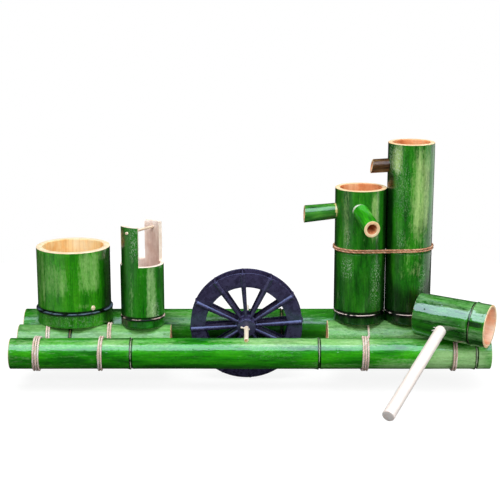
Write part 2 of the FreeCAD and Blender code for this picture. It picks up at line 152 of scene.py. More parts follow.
lamp("key_light", (-0.3, -0.9, 1.65), (0, 0, 0.05), 1.6, 1.6, 38, mirrors=False)
lamp("side_light", (0.95, -0.85, 0.35), (0.2, -0.05, 0.08), 0.5, 0.5, 6, mirrors=False)
lamp("back_light", (0.4, 1.3, 1.2), (0, 0, 0.05), 1.6, 1.2, 20, mirrors=False)
lamp("top_card", (0, -0.9, 1.3), (0, -0.9, 0), 3.4, 1.45, 70, lights=False, tint="#ccdaf6")
lamp("left_card", (-0.9, -0.52, 0.2), (0, 0, 0.2), 1.2, 0.7, 1.0, lights=False)
lamp("right_card", (1.0, 0.35, 0.25), (0, 0.35, 0.25), 1.3, 0.7, 3.0, lights=False)

bpy.ops.mesh.primitive_circle_add(vertices=96, radius=0.9, fill_type="NGON", location=(0, 0, FLOOR_Z))
floor = bpy.context.object
floor.name = "floor"
material, tree, surface = new_material("white_paper")
paper = add(tree, "BsdfPrincipled", Base_Color="#7c7c7c", Roughness=0.9, Specular_IOR_Level=0.0,
            Emission_Color="#ffffff", Emission_Strength=shown(tree, 0.88, 0.044, 0.0))
tree.links.new(paper, surface)
floor.data.materials.append(material)
floor.visible_glossy = False

# Raft: four green culms, two long and two short.
# Each is a hollow bamboo stem sawn at both ends, closed inside at its growth rings. The skin is
# smooth, bloomed and wet, the sawn wood is cream, and a dark scar runs round just above each ring.
# Pale marks on the culms paint light, sheen and reflection, and a dark one paints shade.
MM = 0.001
RIDGE = 1.0
DIAPHRAGM = 4.0
POLE_WALL = 6.0
SKIN, SAWN, INSIDE = 0, 1, 2
RING_SHAPE = np.array([
    (-9.0, 0.0), (-5.5, 0.12), (-3.4, 0.5), (-2.2, 0.9), (-1.5, 1.0), (-1.0, 0.8), (-0.55, -0.1),
    (-0.2, -0.75), (0.4, -0.8), (1.0, -0.45), (1.9, 0.0), (3.2, 0.18), (6.0, 0.05), (9.0, 0.0)])
NOTCH_SPOTS = np.array([-3.7, -3.5, -3.2, -2.4, -1.2, 0, 1.2, 2.4, 3.2, 3.5, 3.7])
WHEEL_CENTRE = np.array([-5.3, 4.0, 51.2])
AXLE_R = 3.4
AXLE_SLOPE = math.radians(5.3)


def culm_size(node, across):
    """Lowest corner, size and centre of a CAD node's box in mm, and the radius of a culm whose
    thickness over its rings is the box's side number across."""
    low, high = (np.array(corner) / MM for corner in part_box(node))
    return low, high - low, (low + high) / 2, (high - low)[across] / 2 - RIDGE


def culm_profile(radius, wall, length, rings, bevels, foot=0.0, extra=(), full=0.0, scars=None):
    """Half outline of a culm, from its axis on the lowest diaphragm, out round the skin and the sawn
    top, down the inner wall and in to the axis on the highest diaphragm. Each growth ring adds its
    bump, read from the ring's outline. Gives radius, height, kind of surface, and closeness to one
    of the first scars rings: 12 mm less the distance, above 0 under the ring and below 0 over it.
    The walls may be fuller, and then the rings stand out less. Two short bevel rows break a rim."""
    spots = [np.arange(4.0, length - 2.0, 6.0), np.array(extra)] + [ring + RING_SHAPE[:, 0] for ring in rings]
    spots = np.unique(np.round(np.concatenate(spots), 2))
    spots = spots[(spots > 1.4) & (spots < length - 1.4)]
    bore = radius - wall
    radius = radius + full
    base = radius + foot
    swell = sum(np.interp(spots - ring, *RING_SHAPE.T, 0, 0) for ring in rings)
    skin_r = radius + swell * np.where(swell > 0, 1 - full, 1) + foot * (spots < rings[0] - 0.6)
    low, high = rings[0] - DIAPHRAGM / 2, rings[-1] + DIAPHRAGM / 2
    rows = [(0, low, INSIDE), (bore * 0.5, low, INSIDE), (bore - 0.5, low, INSIDE), (bore, low - 0.5, INSIDE),
            (bore, low * 0.5, INSIDE), (bore, 0.5, INSIDE), (bore + 0.5, 0, SAWN), (base - 0.6, 0, SAWN),
            (base - 0.15, 0.25, bevels[0]), (base, 0.8, SKIN)]
    rows += [(r, w, SKIN) for r, w in zip(skin_r, spots)]
    rows += [(radius, length - 0.8, SKIN), (radius - 0.15, length - 0.25, bevels[1]),
             (radius - 0.6, length, SAWN), (bore + 0.5, length, SAWN), (bore, length - 0.5, INSIDE)]
    rows += [(bore, w, INSIDE) for w in np.linspace(length - 2, high + 1.5, 8)]
    rows += [(bore - 1.5, high, INSIDE), (bore * 0.5, high - 0.8, INSIDE), (0, high - 1.0, INSIDE)]
    r, w, kind = (np.array(column) for column in zip(*rows))
    away = w[:, None] - np.array(rings[:scars])[None, :]
    away = away[np.arange(len(w)), np.abs(away).argmin(axis=1)]
    near = 12 - np.minimum(np.abs(away), 12)
    return r, w, kind.astype(int), np.where(away < 0, near, -near)


def marked(angles, height, marks):
    """Where a skin is pale, dark, beaded with water or dry. Each mark is (angle, half width, height,
    half height, tone, beads, dry), in degrees and mm: full in its middle half and fading linearly to
    its edge. Gives x = tone, above 0 for a pale bloom and painted sheen, reflection and light, and
    below 0 for dark skin and painted shade, y = beads, z = dry."""
    total = np.zeros((*np.broadcast(angles, height).shape, 3))
    for angle, wide, middle, tall, *values in marks:
        off = np.abs((np.degrees(angles) - angle + 180) % 360 - 180) / wide
        share = np.clip(2 - 2 * off, 0, 1) * np.clip(2 - 2 * np.abs(height - middle) / tall, 0, 1)
        total += share[..., None] * (values + [0, 0])[:3]
    return total


def turned(profile, start, along, side, seed, wobble=0.16, columns=144, marks=()):
    """Surface of revolution: start + w * along + r * (cos * side + sin * (along x side)). The radius
    wanders by a fraction of a millimetre in slow waves, as a grown stem's does. Gives the grid that
    skin_mesh wants, with the local coordinates as grain, moved by the seed so that no two match."""
    r, w, kind, away = profile
    angles = np.arange(columns) * 2 * math.pi / columns
    phase = np.random.default_rng(seed).uniform(0, 6.28, 6)
    turn, height = angles[None, :], w[:, None]
    wave = (0.5 * np.sin(2 * turn + phase[0] + height / 90) + 0.3 * np.sin(3 * turn + phase[1] - height / 55)
            + 0.35 * np.sin(height / 21 + phase[2]) * np.sin(turn + phase[3])
            + 0.2 * np.sin(5 * turn + phase[4] + height / 34))
    wide = r[:, None] + wave * wobble * (r[:, None] > 0.5 * r.max())
    local = np.stack([wide * np.cos(turn), wide * np.sin(turn), height + 0 * wide], axis=-1)
    along, side = np.array(along, float), np.array(side, float)
    points = np.array(start, float) + local @ np.array([side, np.cross(along, side), along])
    return points, kind, away, local * MM + phase[:3] * 0.7, marked(turn, height, marks)


def skin_mesh(name, grids, materials, body, node, without=None, closing=()):
    """Mesh from grids of points, rows x columns in mm, whose columns join up round the shape. A row
    that has shrunk to a point closes it as a fan. Each face lies between two rows and takes the
    higher of their kinds as its material. Faces under the mask without are left out, and closing
    faces of sawn wood take their place. Points that lie together are joined, and edges over 50
    degrees stay sharp. The piece rides on a body and replaces its node."""
    corners, faces, kinds, rings, grains, tones = [], [], [], [], [], []
    count = 0
    for points, kind, away, grain, marks in grids:
        rows, columns, _ = points.shape
        index = count + np.arange(rows * columns).reshape(rows, columns)
        ahead = np.roll(index, -1, axis=1)
        faces.append(np.stack([index[:-1], ahead[:-1], ahead[1:], index[1:]], axis=-1).reshape(-1, 4))
        kinds.append(np.repeat(np.maximum(kind[:-1], kind[1:]), columns))
        rings.append(np.repeat(away, columns))
        grains.append(grain.reshape(-1, 3))
        tones.append(np.broadcast_to(marks, points.shape).reshape(-1, 3))
        corners.append(points.reshape(-1, 3) * MM)
        count += rows * columns
    faces, kinds = np.concatenate(faces), np.concatenate(kinds)
    if without is not None:
        faces, kinds = faces[~without.ravel()], kinds[~without.ravel()]
    kinds = np.concatenate([np.minimum(kinds, len(materials) - 1), np.full(len(closing), SAWN)])
    mesh = bpy.data.meshes.new(name)
    mesh.from_pydata(np.concatenate(corners).tolist(), [], faces.tolist() + list(closing))
    for material in materials:
        mesh.materials.append(material)
    mesh.polygons.foreach_set("material_index", kinds.astype(np.int32))
    for title, kind, field, values in (("ring_mm", "FLOAT", "value", rings),
                                       ("grain", "FLOAT_VECTOR", "vector", grains),
                                       ("marks", "FLOAT_VECTOR", "vector", tones)):
        layer = mesh.attributes.new(title, kind, "POINT")
        layer.data.foreach_set(field, np.concatenate(values).astype(np.float32).ravel())
    work = bmesh.new()
    work.from_mesh(mesh)
    bmesh.ops.remove_doubles(work, verts=work.verts, dist=1e-6)
    bmesh.ops.dissolve_degenerate(work, edges=work.edges, dist=1e-6)
    work.to_mesh(mesh)
    work.free()
    mesh.polygons.foreach_set("use_smooth", [True] * len(mesh.polygons))
    mesh.set_sharp_from_angle(angle=math.radians(50))
    made = bpy.data.objects.new(name, mesh)
    scene.collection.objects.link(made)
    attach(made, body)
    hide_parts(node)


def scaled(tree, across, along):
    """The piece's grain coordinates, so scaled that a pattern's cell is across by along mm large."""
    place = add(tree, "Attribute", attribute_name="grain", out="Vector")
    return add(tree, "Mapping", place, Scale=(1000 / across, 1000 / across, 1000 / along))


def bamboo_skin(name, bright, middle, dark, bloom_and_sheen_colour, line, dry=0.25, mirror=1.5, film=0.05, scar=1.0):
    """Green bamboo skin: a smooth, bloomed cuticle under a film of water, so its gloss is sharp where
    it is wet and broken where it has dried. Long soft patches 14 mm wide run along the stem, with
    fibres about 1.3 mm wide and specks of 2 mm. Where the piece's marks say, in streaks 4 mm wide
    and mottles of 3 mm, it is paler, partly a pale bloom and partly painted sheen, reflection and
    light; where they say so it is darker, partly dark skin and partly painted shade. The scar of a
    ring is black and about 4 mm wide times scar, with a thin pale line at its middle, broken in
    places, partly the node's own line and partly a painted glint. Beads of water stand in a quarter
    of the cells of a 5 mm pattern, and in more of them where the marks say, and there pale flecks
    about 2 mm wide are painted glints of water."""
    material, tree, surface = new_material(name)
    noise = {part: add(tree, "TexNoise", Vector=scaled(tree, across, along), Scale=1, Detail=detail,
                       Roughness=rough) for part, across, along, detail, rough in (
        ("patch", 14, 70, 4, 0.6), ("fibre", 1.3, 40, 3, 0.55), ("speck", 2.2, 4.5, 3, 0.7),
        ("streak", 4, 45, 5, 0.7), ("mottle", 3, 6.5, 4, 0.7), ("fleck", 1.5, 2.8, 3, 0.75),
        ("edge", 6, 6, 2, 0.55), ("gap", 14, 14, 2, 0.55), ("wet", 7, 34, 3, 0.6),
        ("film", 3, 9, 4, 0.7), ("dent", 9, 30, 2, 0.55), ("ridge", 1.3, 30, 3, 0.55))}
    marks = add(tree, "Attribute", attribute_name="marks", out="Vector")
    tone, beads, dried = add(tree, "SeparateXYZ", marks).node.outputs
    # Pale marks mix in the pale colour: partly a pale bloom, partly painted sheen, reflection and light. Dark
    # marks mix in near black: partly dark skin, partly painted shade.
    bloom_and_sheen_share = add(tree, "Math", noise["streak"], 1.8, tone, operation="MULTIPLY_ADD")
    bloom_and_sheen_share = add(tree, "Math", noise["mottle"], 1.6, bloom_and_sheen_share, operation="MULTIPLY_ADD")
    shade = add(tree, "Math", noise["streak"], -0.8, tone, operation="MULTIPLY_ADD")
    # Pale flecks where beads are marked are painted glints of water beads.
    fleck = add(tree, "MapRange", noise["fleck"], 0.53, 0.6)
    fleck = add(tree, "Math", fleck, beads, operation="MULTIPLY")
    near = add(tree, "Attribute", attribute_name="ring_mm", out="Fac")
    wander = add(tree, "Math", noise["edge"], 1.4, -0.7, operation="MULTIPLY_ADD")
    near = add(tree, "Math", near, wander, operation="ADD")
    scarred = add(tree, "ValToRGB", add(tree, "MapRange", near, -12, 12), stops=(
        (0.0, "#060803"), (0.06 * scar, "#0a0c06"), (0.1 * scar, "#3c4630"), (0.17 * scar, "#ffffff"),
        (1 - 0.22 * scar, "#ffffff"), (1 - 0.12 * scar, "#565f40"), (1 - 0.08 * scar, "#0a0c06"),
        (1.0, "#060803")))
    # The pale line in a ring's scar is partly the node's own line and partly a painted glint.
    split = add(tree, "Math", add(tree, "MapRange", near, 10.7, 11.3),
                add(tree, "MapRange", noise["gap"], 0.42, 0.52), operation="MULTIPLY")
    body = add(tree, "ValToRGB", noise["patch"], stops=((0.34, dark), (0.49, middle), (0.66, bright)))
    fibre = add(tree, "ValToRGB", noise["fibre"], stops=((0.32, "#8a8a8a"), (0.6, "#ffffff")))
    speck = add(tree, "ValToRGB", noise["speck"], stops=((0.35, "#8c8c8c"), (0.6, "#ffffff")))
    for blend, share, colour in (
            ("MULTIPLY", 0.5, fibre), ("MULTIPLY", 0.4, speck),
            ("MIX", add(tree, "MapRange", bloom_and_sheen_share, 1.95, 3.3, 0, 0.9), bloom_and_sheen_colour),
            ("MIX", add(tree, "MapRange", shade, -0.6, -1.3, 0, 0.85), "#061806"),
            ("MIX", add(tree, "MapRange", fleck, 0, 1, 0, 0.6), "#cfe4c8"),
            ("MULTIPLY", 1.0, scarred), ("MIX", split, line)):
        body = add(tree, "Mix", share, in6=body, in7=colour, data_type="RGBA", blend_type=blend, out=2)
    edge = dry * 0.35 + 0.22
    wet = add(tree, "ValToRGB", noise["wet"], stops=((edge, "#303030"), (edge + 0.08, "#ffffff")))
    bare = add(tree, "Math", near, operation="ABSOLUTE")
    for less in (add(tree, "MapRange", dried, 0, 1, 1, 0.05), add(tree, "MapRange", bare, 9, 10.5, 1, 0.25)):
        wet = add(tree, "Math", wet, less, operation="MULTIPLY")
    cells = add(tree, "TexVoronoi", Vector=scaled(tree, 4.6, 5.4), Scale=1).node.outputs
    some = add(tree, "Math", beads, cells["Color"], operation="ADD")
    bead = add(tree, "Math", add(tree, "MapRange", cells["Distance"], 0.05, 0.3, 1, 0),
               add(tree, "Math", some, 0.75, operation="GREATER_THAN"), operation="MULTIPLY")
    bump = add(tree, "Bump", Strength=0.35, Distance=0.001, Height=noise["dent"])
    for strength, depth, height in ((0.15, 0.0003, noise["ridge"]), (0.6, 0.0007, bead)):
        bump = add(tree, "Bump", Strength=strength, Distance=depth, Height=height, Normal=bump)
    shader = add(tree, "BsdfPrincipled", Base_Color=body, Specular_IOR_Level=0.2, Coat_IOR=mirror,
                 Roughness=add(tree, "MapRange", noise["mottle"], 0.35, 0.7, 0.25, 0.5), Coat_Weight=wet,
                 Coat_Roughness=add(tree, "MapRange", noise["film"], 0.4, 0.75, film, film + 0.12),
                 Normal=bump, Coat_Normal=bump)
    tree.links.new(shader, surface)
    return material


def fibrous(name, patch, tints, grain, shades, share, dent, **finish):
    """Dull material of fibres. Patches of (across, along) mm run through the tints. A finer grain,
    (kind of texture, across, along, detail, roughness), darkens them by share of its shades, and
    dents the surface by (strength, metres)."""
    material, tree, surface = new_material(name)
    patch = add(tree, "TexNoise", Vector=scaled(tree, *patch), Scale=1, Detail=4, Roughness=0.55)
    kind, across, along, detail, rough = grain
    grain = add(tree, kind, Vector=scaled(tree, across, along), Scale=1, Detail=detail, Roughness=rough)
    body = add(tree, "Mix", share, in6=add(tree, "ValToRGB", patch, stops=tints),
               in7=add(tree, "ValToRGB", grain, stops=shades), data_type="RGBA", blend_type="MULTIPLY", out=2)
    bump = add(tree, "Bump", Strength=dent[0], Distance=dent[1], Height=grain)
    tree.links.new(add(tree, "BsdfPrincipled", Base_Color=body, Normal=bump, **finish), surface)
    return material


def sawn_bamboo(name, pale, warm):
    """Sawn bamboo wall: dry cream wood, dotted with the darker ends of fibre bundles 1 mm apart."""
    return fibrous(name, (12, 12), ((0.35, warm), (0.62, pale)), ("TexVoronoi", 1.1, 1.1, 0, 0.5),
                   ((0.1, "#c9ab80"), (0.4, "#ffffff")), 0.4, (0.25, 0.0002), Roughness=0.6)


def inner_bamboo(name, pale, warm, deep):
    """Inner wall of a culm: matt and peach coloured, with faint grain 2 mm wide along the stem."""
    return fibrous(name, (25, 40), ((0.35, deep), (0.5, warm), (0.66, pale)), ("TexNoise", 2, 40, 4, 0.55),
                   ((0.3, "#e0d0be"), (0.6, "#ffffff")), 0.5, (0.2, 0.0003), Roughness=0.5)


sawn = sawn_bamboo("sawn_bamboo", "#f6dfb4", "#eec592")
inside = inner_bamboo("culm_inside", "#f3c9a0", "#e6a878", "#c97a48")
front_skin = bamboo_skin("front_culm_skin", "#40c00e", "#26a604", "#14780a", "#b4e89c", "#dcd4cc",
                         dry=0.15, mirror=1.7, film=0.02, scar=0.65)
raft_skin = bamboo_skin("raft_culm_skin", "#3ca81c", "#268a10", "#125a0c", "#9cd488", "#a88474",
                        dry=0.45, mirror=1.6, film=0.1, scar=0.8)


def lie_in_notch(points):
    """Lower the crest of a lying culm to the groove that the axle rests in: a round bottom 0.2 mm
    wider than the axle, open upwards."""
    off = points[..., 0] - WHEEL_CENTRE[0]
    axis = WHEEL_CENTRE[2] + (points[..., 1] - WHEEL_CENTRE[1]) * math.tan(AXLE_SLOPE)
    bottom = axis - np.sqrt(np.maximum((AXLE_R + 0.2) ** 2 - off ** 2, 0))
    deep = (np.abs(off) < AXLE_R + 0.15) & (points[..., 2] > bottom)
    points[..., 2] = np.where(deep, bottom, points[..., 2])
    return points


def lying_culm(node, rings, seed, skin, marks=(), notched=False):
    """Culm of the raft along X, with its growth rings at these X. Its radius, place and ends are
    those of its node."""
    low, size, centre, radius = culm_size(node, 2)
    notch = WHEEL_CENTRE[0] - low[0] + NOTCH_SPOTS
    profile = culm_profile(radius, POLE_WALL, size[0], [ring - low[0] for ring in rings], (SAWN, SKIN),
                           extra=notch if notched else ())
    points, *rest = turned(profile, (low[0], centre[1], centre[2]), (1, 0, 0), (0, 1, 0), seed, marks=marks)
    if notched:
        points = lie_in_notch(points)
    skin_mesh(node + "_culm", [(points, *rest)], (skin, sawn, inside), "raft", node)


# The front culm's pale marks on its top paint the light from above, pale patches low on its front and at its
# right end paint reflection, and a dark patch low on its front is painted shade.
lying_culm("front_pole", (-172.6, 100.8, 328.5), 3, front_skin, (
    (200, 50, 50, 110, 0.15), (120, 26, 60, 130, 0.6), (112, 34, 420, 140, 1.0), (118, 28, 190, 80, 0.6),
    (112, 30, 560, 80, 0.5), (200, 80, 655, 60, 1.4, 0.2, 0.5), (205, 40, 580, 60, 0.6),
    (150, 45, 385, 50, 0, 0.2), (228, 30, 240, 80, -0.5), (218, 20, 520, 120, 0.4)), notched=True)
# Pale marks along the rear culm's top paint sheen and light where its gloss is dried.
lying_culm("rear_pole", (-180.0, 49.0, 334.0), 5, raft_skin, (
    (130, 70, 265, 70, 0.3, 0, 0.7), (120, 60, 60, 60, 0.5, 0, 0.5), (128, 34, 230, 300, 0.35)), notched=True)
# Pale marks along the middle culms' tops paint light, on the left one where the pail shades it.
lying_culm("middle_pole_left", (-267.0,), 7, raft_skin, ((130, 70, 110, 200, 0.9, 0, 0.5),))
lying_culm("middle_pole_right", (325.0,), 9, raft_skin, ((125, 70, 100, 240, 0.8, 0.2, 0.7),))

# Dowels through the raft's facing walls, and pegs under the uprights.
# Both are split from a culm's wall, square, dry and cream, with grain 1.1 mm wide and 17 mm long.
# They hold the culms and hardly show.
material, tree, surface = new_material("split_bamboo")
lines = add(tree, "Mapping", add(tree, "TexCoord", out="Object"), Scale=(900, 60, 900))
lines = add(tree, "TexNoise", lines, Scale=1)
shader = add(tree, "BsdfPrincipled", Roughness=0.55,
             Base_Color=add(tree, "ValToRGB", lines, stops=((0.35, "#b99a63"), (0.6, "#e4cf9c"))),
             Normal=add(tree, "Bump", Strength=0.3, Distance=0.0003, Height=lines))
tree.links.new(shader, surface)
for node in ("raft_dowels", "seat_pegs"):
    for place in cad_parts[node].material_slots:
        place.material = material

# Wide cup: a thick, low culm that stands on the middle and the rear culm.
# It is sawn above a growth ring, which is its floor, and its foot is cut to sit over the rear culm.
# The stub of a branch that was cut off stands out of its skin.
_, _, (_, REAR_Y, _), REAR_R = culm_size("rear_pole", 2)
SEAT_CLEAR = 0.3
FEET_BELOW = 70
STUB_PROUD = 2.0


def over_rear_culm(points):
    """Lift foot points onto the rear culm: z is at least the height of its circle, a little clear."""
    off = points[..., 1] - REAR_Y
    crest = REAR_R + np.sqrt(np.maximum((REAR_R + SEAT_CLEAR) ** 2 - off ** 2, 0))
    under = (np.abs(off) < REAR_R + SEAT_CLEAR) & (points[..., 2] < FEET_BELOW)
    points[..., 2] = np.where(under, np.maximum(points[..., 2], crest), points[..., 2])
    return points


def standing_culm(node, wall, rings, seed, skin, rim, lining, marks, foot=0.0, full=0.0, stubs=()):
    """Culm that stands on the raft. Its place in plan, foot and top are those of its node. A stub at
    (angle, height, half width, half height) is an ellipsoid half sunk in the skin, r = cos t and
    w = sin t by its half sizes."""
    low, size, centre, radius = culm_size(node, 0)
    radius -= foot
    profile = culm_profile(radius, wall, size[2], rings, (SKIN, SAWN), foot, full=full, scars=1)
    points, *rest = turned(profile, (centre[0], centre[1], low[2]), (0, 0, 1), (1, 0, 0), seed, marks=marks)
    grids = [(over_rear_culm(points), *rest)]
    for angle, height, wide, tall in stubs:
        angle, t = math.radians(angle), np.linspace(-math.pi / 2, math.pi / 2, 9)
        out = np.array([math.cos(angle), math.sin(angle), 0])
        spot = np.array([centre[0], centre[1], low[2] + height]) + out * (radius + full)
        points, *rest = turned((wide * np.cos(t), STUB_PROUD * np.sin(t), np.full(len(t), SAWN), t * 0),
                               spot, out, (0, 0, 1), seed, wobble=0.0, columns=16)
        points[..., 2] = spot[2] + (points[..., 2] - spot[2]) * tall / wide
        grids.append((points, *rest))
    skin_mesh(node + "_culm", grids, (skin, rim, lining), "raft", node)


# The cup's ring line, a dim blue grey, is a painted glint.
cup_skin = bamboo_skin("wide_cup_skin", "#4cb41a", "#32a00c", "#1c7a08", "#a4dc7c", "#5c7080", film=0.12)
# The cup's lining is paler than a culm's inside: painted light on its shaded inner wall.
cup_inside_painted_light = inner_bamboo("wide_cup_inside", "#fff2d0", "#ffe4ac", "#f8c880")
cup_sawn = sawn_bamboo("wide_cup_sawn_bamboo", "#f6e6c8", "#f0d2a8")
# The cup's pale patches and thin streaks on its front paint reflection, its right edge is painted shade, and
# it darkens towards its foot. The stub's pale sawn face paints a glint.
standing_culm("wide_cup", wall=9.5, rings=[22.0], seed=11, skin=cup_skin, rim=cup_sawn,
              lining=cup_inside_painted_light, foot=1.8, stubs=((-53, 28.5, 3.6, 3.8),), marks=(
    (-111, 26, 70, 34, 0.6), (-150, 24, 72, 60, 0.65), (-57, 22, 84, 40, 1.0), (-12, 28, 60, 90, -0.8),
    (-137, 3, 50, 22, 0.6), (-101, 3, 54, 30, 0.4), (-90, 90, 34, 24, -0.22),
    (-90, 70, 11, 14, -0.35, 0.3), (-70, 18, 33, 5, 0.6)))

# Pail: a narrow culm with two ears left standing on its rim, bored for a carrying bar.
# The ears are sawn down their sides, so their edges show the pale wall.
PAIL_SHOULDER = 94.0
PAIL_EAR = 59.0
PAIL_RING = 14.5
PAIL_WALL = 5.0
EAR_STARTS = (26.0, 206.0)
EAR_SWEEP = 59.0
EAR_ROWS = 16
EAR_COLUMNS = 26
RIM_COLUMNS = 46
pail_skin = bamboo_skin("pail_skin", "#2c9410", "#1c820a", "#0c5606", "#b4e096", "#e8ccc4", film=0.12,
                        scar=0.9)
pail_inside = inner_bamboo("pail_inside", "#fff6f2", "#f6e2d8", "#e0c2b6")
pail_sawn = sawn_bamboo("pail_sawn_bamboo", "#fff4e8", "#f8e4d0")


def eared_culm(node, seed, marks):
    """Culm whose rim jumps up to ears. Columns stand at fixed angles, two at each side of an ear, one
    low and one high. Rows are those of a plain culm, with the rim raised by the ear's height in its
    columns and rows spread evenly along the ear. One face closes the wall between two such columns."""
    low, _, centre, radius = culm_size(node, 0)
    r, w, kind, away = culm_profile(radius, PAIL_WALL, PAIL_SHOULDER, [PAIL_RING], (SKIN, SAWN))
    rim = int(np.argmax(w > PAIL_SHOULDER - 0.9))
    inner = int(np.argmax((kind == INSIDE) & (w > PAIL_SHOULDER - 0.6)))
    share = np.linspace(0, 1, EAR_ROWS)
    order = np.concatenate([np.arange(rim), np.full(EAR_ROWS, rim), np.arange(rim + 1, inner),
                            np.full(EAR_ROWS, inner), np.arange(inner + 1, len(r))])
    lift = np.concatenate([np.zeros(rim), share, np.ones(inner - rim - 1), share[::-1],
                           np.zeros(len(r) - inner - 1)])
    angles, raised = [], []
    for start in EAR_STARTS:
        angles += [np.linspace(start, start + EAR_SWEEP, EAR_COLUMNS),
                   np.linspace(start + EAR_SWEEP, start + 180, RIM_COLUMNS)]
        raised += [np.ones(EAR_COLUMNS), np.zeros(RIM_COLUMNS)]
    angles, raised = np.radians(np.concatenate(angles)), np.concatenate(raised)
    r, w, kind, away = r[order], w[order], kind[order], away[order]
    height = w[:, None] + lift[:, None] * raised[None, :] * PAIL_EAR
    local = np.stack([r[:, None] * np.cos(angles), r[:, None] * np.sin(angles), height], axis=-1)
    points = over_rear_culm(local + np.array([centre[0], centre[1], low[2]]))
    index = np.arange(height.size).reshape(height.shape)
    ahead = np.roll(index, -1, axis=1)
    jump = raised != np.roll(raised, -1)
    last = inner + 2 * EAR_ROWS - 2
    without = np.zeros((len(r) - 1, len(angles)), bool)
    without[rim:last, jump] = True
    closing = [ahead[rim:last + 1, column].tolist() + index[rim:last + 1, column][::-1].tolist()
               for column in np.flatnonzero(jump)]
    grid = (points, kind, away, local * MM + seed, marked(angles[None, :], height, marks))
    skin_mesh(node + "_culm", [grid], (pail_skin, pail_sawn, pail_inside), "raft", node,
              without, closing)


# The pail's pale mottles on its front right are partly frosty scuffs and partly painted sheen; it is darker
# at its left and right and towards its foot.
eared_culm("pail", 13, (
    (-152, 24, 70, 120, -0.85), (-62, 17, 54, 60, 0.95), (-118, 10, 50, 36, 0.3), (-50, 18, 26, 18, 0.2, 0.8),
    (-108, 14, 130, 30, 0.1, 0.7), (-38, 12, 75, 24, -0.5), (-90, 90, 6, 12, -0.5)))

# Pail's bar: a thin peeled bamboo stick, satin and nearly white.
# It is pushed through the holes in the ears, and its ends stand a little proud.
NO_RING = 99.0


def rod_profile(radius, length, edge):
    """Outline of a round stick: flat ends, and edges rounded by three rows."""
    body = np.linspace(edge, length - edge, max(int(length / 4), 6))[1:-1]
    corner = np.array([0.0, 0.3, 1.0]) * math.pi / 2
    drawn_in, drawn_back = radius - edge * (1 - np.sin(corner)), edge * (1 - np.cos(corner))
    r = np.concatenate([[0], drawn_in, np.full(len(body), radius), drawn_in[::-1], [0]])
    w = np.concatenate([[0], drawn_back, body, length - drawn_back[::-1], [length]])
    kind = np.zeros(len(r), int)
    kind[0] = kind[-1] = SAWN
    return r, w, kind, w * 0 + NO_RING


def peeled_bamboo(name, pale, shade, brown, tip="#e6d3b0"):
    """Peeled bamboo stick: satin, nearly white, with long fine grain lines about 0.9 mm apart and a
    few browner streaks. Its sawn ends take the tip colour, darker unless another is given. Gives
    the materials of its side and its ends."""
    return [fibrous(f"{name}_{part}", (5, 90), ((0.4, tint), (0.62, shade)), ("TexNoise", 0.9, 60, 3, 0.55),
                    ((0.3, brown), (0.52, "#ffffff")), 0.5, (0.2, 0.0003), Roughness=0.42)
            for part, tint in (("side", pale), ("end", tip))]


low, size, bar_centre, _ = culm_size("pail_bar", 2)
bar_r = size[2] / 2
ear_middle = math.radians(EAR_STARTS[0] + EAR_SWEEP / 2)
bar_way = np.array([math.cos(ear_middle), math.sin(ear_middle), 0])
half = (size[0] - 2 * bar_r * abs(bar_way[1])) / 2 / abs(bar_way[0])
bar_start = np.array([*culm_size("pail", 0)[2][:2], bar_centre[2]]) - bar_way * half
bar_grid = turned(rod_profile(bar_r, 2 * half, 0.5), bar_start, bar_way, (0, 0, 1), 19, wobble=0.05,
                  columns=32)
skin_mesh("pail_bar_stick", [bar_grid], peeled_bamboo("bar_bamboo", "#f2e2cc", "#e8cdb0", "#caa27c"),
          "raft", "pail_bar")

# Medium and tall tubes: two culms side by side on the middle and rear culms.
# Both keep a growth ring as a foot and another half way up. Water stands in their upper chambers;
# it is not drawn.
TUBE_RINGS = [15.5, 107.0]
tube_skin = bamboo_skin("tube_skin", "#369618", "#227e12", "#10540a", "#b4d884", "#f0dcd8", film=0.12,
                        scar=1.3)
tube_inside = inner_bamboo("tube_inside", "#ffd0a0", "#f2a870", "#d8824a")
# The medium tube's pale strips at its front left and front right paint reflection; it is darker at both edges
# and towards its foot.
standing_culm("medium_tube", wall=6.0, rings=TUBE_RINGS, seed=23, skin=tube_skin, rim=sawn,
              lining=tube_inside, full=1.0, marks=(
    (-127, 11, 160, 60, 0.5), (-61, 13, 164, 44, 0.95), (-20, 22, 100, 220, -0.9), (-172, 22, 100, 200, -0.6),
    (-124, 17, 85, 18, 0.1, 0.9), (-55, 17, 62, 42, 0.1, 0.6), (-125, 10, 130, 20, 0, 0.5),
    (-90, 100, 40, 60, -0.4), (-90, 100, 6, 12, -0.5)))
# The tall tube's pale patches on its front right paint reflection, and a pale patch at its top left paints
# the sheen of splashed water; it is darker down its left side, at its right edge low down and towards its
# foot.
standing_culm("tall_tube", wall=5.5, rings=TUBE_RINGS, seed=17, skin=tube_skin, rim=sawn,
              lining=tube_inside, full=1.0, marks=(
    (-163, 28, 130, 290, -0.95), (-63, 26, 196, 80, 0.95), (-30, 5, 200, 90, 0.15),
    (-142, 28, 246, 26, 1.4, 1.0), (-118, 12, 128, 16, 0, 0.6), (-58, 14, 65, 34, 0, 0.4),
    (-84, 16, 200, 90, 0.42), (-118, 26, 200, 50, 0, 0.3), (-88, 40, 88, 50, 0.3),
    (-90, 100, 22, 56, -0.85), (-28, 26, 80, 100, -0.5), (-10, 20, 60, 80, -0.9),
    (-90, 100, 6, 12, -0.5)))

# Spouts: three thin culms pushed through holes in the tubes' walls, their lips cut at a slant.
# The left one carries water to the wheel, the front one forwards, the tall one into its neighbour.
SPOUT_TENON = 4.0


def direction(yaw, slope):
    """Unit vector at yaw degrees about Z from +X that falls by slope degrees."""
    yaw, slope = math.radians(yaw), math.radians(slope)
    return np.array([math.cos(slope) * math.cos(yaw), math.cos(slope) * math.sin(yaw), -math.sin(slope)])


